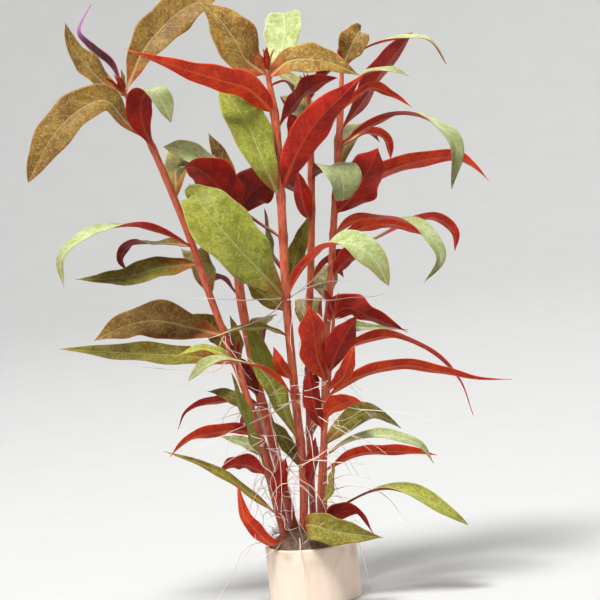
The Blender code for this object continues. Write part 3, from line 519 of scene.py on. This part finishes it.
def leaf_mesh(name, base, places, width, widest_at, base_turn, tip_turn):
    """Two faces of one blade: cupped along its midrib, waved at its edges, thick in the middle and thin outside."""
    chance = seeded(name)
    points = [base] + [Vector(place) * MM for place in places]
    _, length = smooth_path(points, 8)
    steps = max(20, round(length / LEAF_SPACING))
    path, _ = smooth_path(points, steps)
    reach = path[-1] - path[0]
    across = Vector((-reach.y, reach.x, 0)).normalized()
    hand = 1 if reach.x >= 0 else -1
    waves = chance.uniform(1.6, 2.8)
    phases = (chance.uniform(0, 6.28), chance.uniform(0, 6.28))
    wave_height = chance.uniform(0.10, 0.20)
    mood = chance.random()
    uneven = [(chance.uniform(2.5, 5), chance.uniform(0, 6.28)) for _ in range(2)]
    rows = LEAF_ROWS_ACROSS
    top, bottom, place_mm, place_share = [], [], [], []
    for step in range(steps + 1):
        t = step / steps
        along = (path[min(step + 1, steps)] - path[max(step - 1, 0)]).normalized()
        roll = math.radians(base_turn + (tip_turn - base_turn) * t) * hand
        sideways = Matrix.Rotation(roll, 3, along) @ (across - across.dot(along) * along).normalized()
        upper = along.cross(sideways)
        widest_here = blade_half_width(t, width * MM / 2, widest_at)
        for row in range(rows + 1):
            side = row / rows * 2 - 1
            out = abs(side)
            times, start = uneven[side > 0]
            half = widest_here * (1 + EDGE_UNEVENNESS * math.sin(2 * math.pi * times * t + start))
            wave = wave_height * half * out**2 * math.sin(2 * math.pi * waves * t + phases[side > 0])
            cup = half * LEAF_CUP * out**1.4
            distance = out * half
            rib = math.exp(-(distance / RIB_HALF_WIDTH) ** 2)
            vein_place = (t * length - SIDE_VEIN_SLANT * distance) / SIDE_VEIN_SPACING
            quilt = QUILT_HEIGHT * math.sin(math.pi * vein_place) ** 2 * min(1, half / QUILTED_HALF_WIDTH)
            quilt *= 4 * out * (1 - out)
            thick = LEAF_EDGE_THICKNESS + (LEAF_MIDDLE_THICKNESS - LEAF_EDGE_THICKNESS) * (1 - out**2)
            middle = path[step] + sideways * side * half + upper * (wave + cup + quilt)
            top.append(middle + upper * (thick / 2 - rib * RIB_DEPTH * 0.5))
            bottom.append(middle - upper * (thick / 2 + rib * RIB_DEPTH * (1 - 0.7 * t)))
            place_mm.append((t * length / MM, side * half / MM, 0))
            place_share.append((t, out, mood))
    count = len(top)
    faces, lower = [], []
    for step in range(steps):
        for row in range(rows):
            a = step * (rows + 1) + row
            b, c, d = a + 1, a + rows + 2, a + rows + 1
            faces.append((a, d, c, b))
            lower.append((count + a, count + b, count + c, count + d))
    rim = [row for row in range(rows + 1)]
    rim += [step * (rows + 1) + rows for step in range(1, steps + 1)]
    rim += [steps * (rows + 1) + row for row in range(rows - 1, -1, -1)]
    rim += [step * (rows + 1) for step in range(steps - 1, 0, -1)]
    closing = [(a, b, count + b, count + a) for a, b in zip(rim, rim[1:] + rim[:1])]
    mesh = bpy.data.meshes.new(name)
    mesh.from_pydata([tuple(v) for v in top + bottom], [], faces + lower + closing)
    mesh.polygons.foreach_set("material_index", [0] * len(faces) + [1] * (len(lower) + len(closing)))
    add_vectors(mesh, "blade_mm", place_mm * 2)
    add_vectors(mesh, "blade_share", place_share * 2)
    return mesh


def leaf(name, stem, row, tones, skins):
    height, places, *shape = row
    axis, upward = stem_at(stem, height * MM)
    outward = Vector(places[0]) * MM - axis
    outward = (outward - outward.dot(upward) * upward).normalized()
    base = axis + outward * STEMS[stem][0] * MM * 0.5
    mesh = leaf_mesh(name, base, places, *shape)
    upper, lower = tones.split()
    mesh.materials.append(skins[upper])
    mesh.materials.append(skins[lower])
    return piece(name, mesh)


def tube_mesh(name, path, radii, sides):
    """A closed tube along the path, with a radius at each place."""
    points, faces = [], []
    side = Vector((0, 1, 0))
    for step, place in enumerate(path):
        along = (path[min(step + 1, len(path) - 1)] - path[max(step - 1, 0)]).normalized()
        side = (side - side.dot(along) * along).normalized()
        other = along.cross(side)
        for number in range(sides):
            angle = 2 * math.pi * number / sides
            points.append(place + (side * math.cos(angle) + other * math.sin(angle)) * radii[step])
    for step in range(len(path) - 1):
        for number in range(sides):
            a = step * sides + number
            b = step * sides + (number + 1) % sides
            faces.append((a, b, b + sides, a + sides))
    last = (len(path) - 1) * sides
    faces.append(tuple(range(sides - 1, -1, -1)))
    faces.append(tuple(range(last, last + sides)))
    mesh = bpy.data.meshes.new(name)
    mesh.from_pydata([tuple(p) for p in points], [], faces)
    return mesh


def joints_of(stem):
    """Heights of the stem's joints: where a leaf leaves it, and at even steps below the lowest leaf."""
    heights = []
    for height in sorted(row[0] * MM for row in LEAVES[stem]):
        if not heights or height - heights[-1] > JOINT_MERGE:
            heights.append(height)
    low = heights[0] - BETWEEN_JOINTS
    while low > STEMS[stem][1][0][2] * MM + 6 * MM:
        heights.insert(0, low)
        low -= BETWEEN_JOINTS
    return heights


def stem(name, skin):
    _, length = smooth_path(stem_line(name), 8)
    path, _ = smooth_path(stem_line(name), round(length / STEM_SPACING))
    radius = STEMS[name][0] * MM
    joints = joints_of(name)
    top = path[-1].z
    radii, nearness = [], []
    for place in path:
        near = max(math.exp(-((place.z - joint) / JOINT_HALF_LENGTH) ** 2) for joint in joints)
        taper = min(1, 0.45 + (top - place.z) / (18 * MM) * 0.55)
        radii.append(radius * taper * (0.96 + JOINT_SWELL * near * taper))
        nearness.append(near)
    mesh = tube_mesh("stem_" + name, path, radii, STEM_SIDES)
    rows = []
    for step, near in enumerate(nearness):
        for number in range(STEM_SIDES):
            rows.append((step * STEM_SPACING / MM, number * 2 * math.pi / STEM_SIDES, near))
    add_vectors(mesh, "stem_place", rows)
    mesh.materials.append(skin)
    made = piece("stalk_" + name, mesh)
    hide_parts("stem_" + name)
    return made


def join_meshes(name, meshes):
    """One mesh of them all."""
    points, faces = [], []
    for mesh in meshes:
        first = len(points)
        points += [tuple(v.co) for v in mesh.vertices]
        faces += [tuple(first + i for i in face.vertices) for face in mesh.polygons]
        bpy.data.meshes.remove(mesh)
    made = bpy.data.meshes.new(name)
    made.from_pydata(points, [], faces)
    return made


# Water roots that the photograph shows, as places in millimetres: sideways, depth, height.
ROOTS = (
    ((0, -11, 117), (-15, -15, 118.5), (-32, -18, 121), (-37, -18, 122)),
    ((0, -11, 117), (-6, -14, 112), (-20, -18, 108), (-33, -20, 105)),
    ((0, -11, 117), (12, -15, 115.5), (30, -18, 115), (38, -19, 116)),
    ((2, -11, 117), (10, -15, 122), (19, -17, 130)),
    ((3, -11, 118), (15, -16, 122), (25, -17, 121)),
    ((-22, -3, 97), (-30, -9, 92), (-44, -12, 95), (-57, -13, 97)),
    ((-22, -3, 97), (-20, -10, 88), (-10, -14, 82)),
    ((0, -9, 79), (-5, -13, 77.5), (-25, -16, 75.5), (-35, -17, 74), (-46, -18, 71)),
    ((0, -9, 79), (-5, -13, 76), (-18, -17, 72), (-30, -18, 68), (-43, -20, 63.5)),
    ((0, -9, 79), (10, -14, 76), (25, -17, 73), (50, -18, 68)),
    ((-2, -9, 80), (6, -14, 73), (18, -18, 65), (24, -20, 62), (32, -20, 55)),
    ((0, -9, 79), (4, -14, 76), (9, -16, 74.5), (15, -17, 74)),
    ((-10, -3, 84), (-10, -12, 74), (-9, -14, 62), (-8, -15, 55), (-9, -15, 42), (-9.5, -14, 34), (-5, -14, 25)),
    ((-16, -12, 63), (-15, -14, 56), (-11.5, -15, 52), (-11, -15, 45), (-12, -15, 37)),
    ((-7, -8, 53), (0, -14, 54), (8, -16, 58), (15, -17, 63), (24, -18, 69)),
    ((3, -9, 68), (4.5, -13, 59), (4.5, -14, 52), (4.7, -14, 44)),
    ((-7, -8, 56), (-3, -12, 50), (3, -14, 45), (6, -15, 38), (8, -15, 31)),
    ((-8, -8, 57), (-5, -14, 51), (2, -16, 43)),
    ((3, -10, 55), (12, -15, 54), (20, -16, 52.5), (26, -17, 52)),
    ((10, -12, 58), (11, -15, 50), (12.5, -16, 40)),
    ((-14, -11, 60), (-18, -13, 61.5), (-24, -14, 60), (-30, -15, 56.5)),
    ((-9, -6, 45), (-14, -12, 47), (-18, -15, 45), (-22, -16, 40)),
    ((6, -10, 45), (16, -14, 48.5), (25, -16, 46.5)),
    ((7, -10, 42), (18, -13, 44), (30, -16, 39), (38, -18, 28)),
    ((3, -8, 40), (-2, -12, 46), (-9, -13, 47), (-14, -13, 40), (-12, -13, 31)),
    ((0, -7, 60), (-6, -12, 50), (-4, -14, 35), (-3, -14, 24)),
    ((0, -7, 34), (1, -12, 30), (-1, -15, 25.5), (-4, -17, 24)),
    ((12, -6, 25), (18, -8, 22), (20, -8, 12), (21, -8, 0.6)),
    ((-12, -6, 25), (-24, -9, 24), (-30, -10, 16), (-38, -10, 5)),
    ((-4, -13, 26), (-4, -17, 23.5), (-3.5, -19.2, 16), (-5, -18.6, 6)),
    ((8, -11, 26), (10, -15, 23.5), (9.5, -17.6, 18), (6, -18.7, 9)),
)
ROOT_RADIUS = 0.26 * MM
ROOT_TIP_RADIUS = 0.07 * MM
ROOT_SPACING = 1.2 * MM
ROOT_BENDS = 110
ROOT_SIDES = 5
ROOTS_PER_JOINT = 4
ROOTED_HEIGHT = 125 * MM

# Pot: half its outline, from the middle of the floor's underside round to the middle of the floor.
POT_HEIGHT = 22 * MM
POT_FOOT_RADIUS = 17.9 * MM
POT_RIM_RADIUS = 17.6 * MM
POT_WALL = 1.6 * MM
POT_FLOOR = 2.5 * MM
POT_ROUNDING = 0.7 * MM
TURNED_STEPS = 128
PLUG_HEIGHT = 27 * MM
PLUG_SHOULDER = 22 * MM


def thread(path_points, chance, radius=ROOT_RADIUS, wander_by=0.7 * MM):
    """One root: a thin tube that wanders a little and narrows to its tip."""
    _, length = smooth_path(path_points, 8)
    path, _ = smooth_path(path_points, max(4, round(length / ROOT_SPACING)))
    shift = Vector((chance.uniform(0, 90), chance.uniform(0, 90), 0))
    for step, place in enumerate(path):
        if 0 < step:
            wander = noise.noise_vector(place * ROOT_BENDS + shift) * wander_by * min(1, step / 4)
            place += wander
            place.z = max(place.z, 0.4 * MM)
    radii = [radius + (ROOT_TIP_RADIUS - radius) * step / (len(path) - 1) for step in range(len(path))]
    return tube_mesh("thread", path, radii, ROOT_SIDES)


def loose_root(stem_name, height, chance):
    """A root from a joint that reaches out, curls, and hangs beside the stems."""
    axis, _ = stem_at(stem_name, height)
    angle = chance.uniform(0, 2 * math.pi)
    reach = chance.uniform(8, 22) * MM
    drop = chance.uniform(-4, 22) * MM
    places = [axis]
    for share in (0.35, 0.7, 1.0):
        angle += chance.uniform(-0.5, 0.5)
        place = axis + Vector((math.cos(angle), math.sin(angle), 0)) * reach * share**0.7
        place.z = max(2 * MM, axis.z - drop * share**1.8 + chance.uniform(-1.5, 1.5) * MM)
        places.append(place)
    return thread(places, chance, chance.uniform(0.10, 0.18) * MM, 1.5 * MM)


def fine_roots(skin):
    chance = random.Random(11)
    threads = [thread([Vector(place) * MM for place in route], chance) for route in ROOTS]
    for stem_name in STEMS:
        for height in joints_of(stem_name):
            if height < ROOTED_HEIGHT:
                threads += [loose_root(stem_name, height, chance) for _ in range(ROOTS_PER_JOINT)]
    mesh = join_meshes("fine_roots", threads)
    mesh.materials.append(skin)
    return piece("fine_roots", mesh)


def turned_mesh(name, outline, steps):
    """The outline, as (radius, height) places that start and end on the axis, turned round it."""
    points, faces = [(0, 0, outline[0][1])], []
    rings = outline[1:-1]
    for step in range(steps):
        angle = 2 * math.pi * step / steps
        points += [(radius * math.cos(angle), radius * math.sin(angle), height) for radius, height in rings]
    points.append((0, 0, outline[-1][1]))
    size = len(rings)
    for step in range(steps):
        here = 1 + step * size
        beside = 1 + (step + 1) % steps * size
        faces.append((0, beside, here))
        faces += [(here + i, beside + i, beside + i + 1, here + i + 1) for i in range(size - 1)]
        faces.append((here + size - 1, beside + size - 1, len(points) - 1))
    mesh = bpy.data.meshes.new(name)
    mesh.from_pydata(points, [], faces)
    return mesh


def corner(start, middle, end, radius, steps=5):
    """A rounded corner at middle between the lines to start and end."""
    middle = Vector(middle)
    one = middle + (Vector(start) - middle).normalized() * radius
    other = middle + (Vector(end) - middle).normalized() * radius
    return [tuple(one.lerp(middle, t / steps).lerp(middle.lerp(other, t / steps), t / steps))
            for t in range(steps + 1)]


def pot(skin):
    foot, outer = (POT_FOOT_RADIUS, 0), (POT_RIM_RADIUS, POT_HEIGHT)
    inner, floor = (POT_RIM_RADIUS - POT_WALL, POT_HEIGHT), (POT_FOOT_RADIUS - POT_WALL, POT_FLOOR)
    outline = [(0, 0), (POT_FOOT_RADIUS * 0.5, 0), *corner((0, 0), foot, outer, POT_ROUNDING)]
    outline += [tuple(Vector(foot).lerp(Vector(outer), share / 12)) for share in range(1, 12)]
    outline += corner(foot, outer, inner, POT_ROUNDING) + corner(outer, inner, floor, POT_ROUNDING)
    outline += [floor, (0, POT_FLOOR)]
    mesh = turned_mesh("clay_pot", outline, TURNED_STEPS)
    for vertex in mesh.vertices:
        radius = math.hypot(vertex.co.x, vertex.co.y)
        if vertex.co.z > 0.1 * MM and radius > POT_FOOT_RADIUS - POT_WALL:
            around = Vector((vertex.co.x, vertex.co.y, vertex.co.z * 0.3))
            uneven = noise.noise(around * 260) * 0.18 * MM + noise.noise(around * 60) * 0.15 * MM
            vertex.co.xy *= 1 + (uneven - 0.15 * MM) / radius
    mesh.materials.append(skin)
    made = piece("clay_pot", mesh)
    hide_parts("pot")
    return made


def plug(skin):
    """The wool: lumpy on top, with loose fibres standing out of it."""
    chance = random.Random(5)
    radius = POT_RIM_RADIUS - POT_WALL - 0.1 * MM
    low = POT_FLOOR + 0.5 * MM
    outline = [(0, low)] + [(radius * 0.9 * share / 4, low) for share in range(1, 5)]
    outline += [(radius, low + (PLUG_SHOULDER - low) * share / 8) for share in range(1, 9)]
    for share in range(1, 20):
        out = 1 - share / 20
        outline.append((radius * out, PLUG_SHOULDER + (PLUG_HEIGHT - PLUG_SHOULDER) * (1 - out**4)))
    outline.append((0, PLUG_HEIGHT))
    mesh = turned_mesh("wool", outline, 96)
    for vertex in mesh.vertices:
        if vertex.co.z > PLUG_SHOULDER:
            lumps = noise.noise(vertex.co * 200) * 1.3 * MM + noise.noise(vertex.co * 700) * 0.6 * MM
            vertex.co.z += lumps - 0.4 * MM
    fibres = []
    for _ in range(420):
        angle, out = chance.uniform(0, 2 * math.pi), math.sqrt(chance.random()) * radius * 0.97
        start = Vector((out * math.cos(angle), out * math.sin(angle), PLUG_SHOULDER + 2.5 * MM))
        start.z += (PLUG_HEIGHT - PLUG_SHOULDER - 2.5 * MM) * (1 - (out / radius) ** 4)
        turn = chance.uniform(0, 2 * math.pi)
        along = Vector((math.cos(turn), math.sin(turn), chance.uniform(-0.1, 0.7))) * chance.uniform(2, 5) * MM
        bow = start + along * 0.5 + Vector((0, 0, chance.uniform(0.2, 1.0) * MM))
        fibres.append(thread([start - along * 0.1, bow, start + along], chance, 0.07 * MM))
    wool = join_meshes("wool_plug", [mesh, *fibres])
    wool.materials.append(skin)
    made = piece("wool_plug", wool)
    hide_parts("growing_plug")
    return made


def growing_tip(stem_name, skins):
    """The youngest leaves, still folded together round the stem's end."""
    path, _ = smooth_path(stem_line(stem_name), 40)
    end, upward = path[-1], (path[-1] - path[-2]).normalized()
    chance = seeded("tip" + stem_name)
    side = upward.orthogonal().normalized()
    start_turn = chance.uniform(0, 2 * math.pi)
    for number in range(4):
        outward = Matrix.Rotation(start_turn + number * 2.2, 3, upward) @ side
        length = chance.uniform(6, 9)
        lean = chance.uniform(0.25, 0.55)
        places = []
        for share in (0.4, 0.75, 1.0):
            place = end - upward * 1.0 * MM + upward * length * share * MM
            place += outward * (lean * length * share**1.3 + 0.4) * MM
            places.append(tuple(place / MM))
        name = f"bud_{stem_name}_{number + 1}"
        turn = chance.uniform(-60, 60)
        mesh = leaf_mesh(name, end - upward * 1.5 * MM, places, 2.6, 0.5, turn, turn)
        mesh.materials.append(skins["olive"])
        mesh.materials.append(skins["crimson"])
        piece(name, mesh)


def area_light(name, place, aim, size, power, colour=(1, 1, 1)):
    data = bpy.data.lights.new(name, "AREA")
    data.shape = "DISK"
    data.size = size
    data.energy = power
    data.color = colour
    made = bpy.data.objects.new(name, data)
    made.location = place
    made.rotation_euler = (Vector(aim) - Vector(place)).to_track_quat("-Z", "Y").to_euler()
    bpy.context.scene.collection.objects.link(made)


def studio():
    """A pale floor that curves up all round into a pale wall, under large soft lights and an even sky."""
    nodes = Nodes("pale_floor")
    nodes.finish(nodes.mix(nodes.noise(30, 4), (0.42, 0.42, 0.41), (0.45, 0.45, 0.44)), 0.8)
    outline = [(0, 0, 0), (FLOOR_RADIUS * 0.5, 0, 0)]
    for step in range(COVE_STEPS + 1):
        angle = math.pi / 2 * step / COVE_STEPS
        outline.append((FLOOR_RADIUS + COVE_RADIUS * math.sin(angle), 0, COVE_RADIUS * (1 - math.cos(angle))))
    outline.append((FLOOR_RADIUS + COVE_RADIUS, 0, WALL_HEIGHT))
    mesh = bpy.data.meshes.new("floor")
    mesh.from_pydata(outline, [(i, i + 1) for i in range(len(outline) - 1)], [])
    mesh.materials.append(nodes.material)
    floor = bpy.data.objects.new("floor", mesh)
    bpy.context.scene.collection.objects.link(floor)
    turn = floor.modifiers.new("Turn", "SCREW")
    turn.steps = turn.render_steps = 64
    turn.use_smooth_shade = True
    turn.use_merge_vertices = True
    area_light("above", (-0.45, -0.55, 1.7), (0, 0, 0.12), 0.5, 52)
    area_light("front", (1.0, -2.2, 0.9), (0, 0, 0.10), 1.0, 30)
    area_light("behind", (0.7, 1.6, 1.7), (0, 0, 0.14), 1.0, 25)
    world = bpy.data.worlds.new("soft surround")
    world.use_nodes = True
    world.node_tree.nodes["Background"].inputs["Color"].default_value = (0.95, 0.97, 1.0, 1)
    world.node_tree.nodes["Background"].inputs["Strength"].default_value = 0.5
    bpy.context.scene.world = world
    bpy.context.scene.view_settings.view_transform = "Standard"


def camera():
    data = bpy.data.cameras.new("camera")
    data.sensor_width = 36
    data.lens = 36 * CAMERA_DISTANCE / PICTURE_WIDTH
    data.clip_start = 0.02
    made = bpy.data.objects.new("camera", data)
    away = Vector((0, -math.cos(CAMERA_TILT), math.sin(CAMERA_TILT)))
    made.matrix_world = (Matrix.Translation(PICTURE_CENTRE + CAMERA_DISTANCE * away)
                         @ Matrix.Rotation(math.pi / 2 - CAMERA_TILT, 4, "X")
                         @ Matrix.Rotation(-CAMERA_ROLL, 4, "Z"))
    bpy.context.scene.collection.objects.link(made)
    bpy.context.scene.camera = made


skins = {tone: leaf_finish(tone) for tone in TONES}
stem_skin = stem_finish()
for stem_name in STEMS:
    stem(stem_name, stem_skin)
    growing_tip(stem_name, skins)
    for number, (row, tones) in enumerate(zip(LEAVES[stem_name], FACES[stem_name]), 1):
        made = leaf(f"blade_{stem_name}_{number}", stem_name, row, tones, skins)
        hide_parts(f"leaf_{stem_name}_{number}")
    for number, (row, tones) in enumerate(zip(SMALL_LEAVES[stem_name], SMALL_FACES[stem_name]), 1):
        leaf(f"small_leaf_{stem_name}_{number}", stem_name, row, tones, skins)
fine_roots(root_finish())
pot(clay_finish())
plug(wool_finish())
studio()
camera()
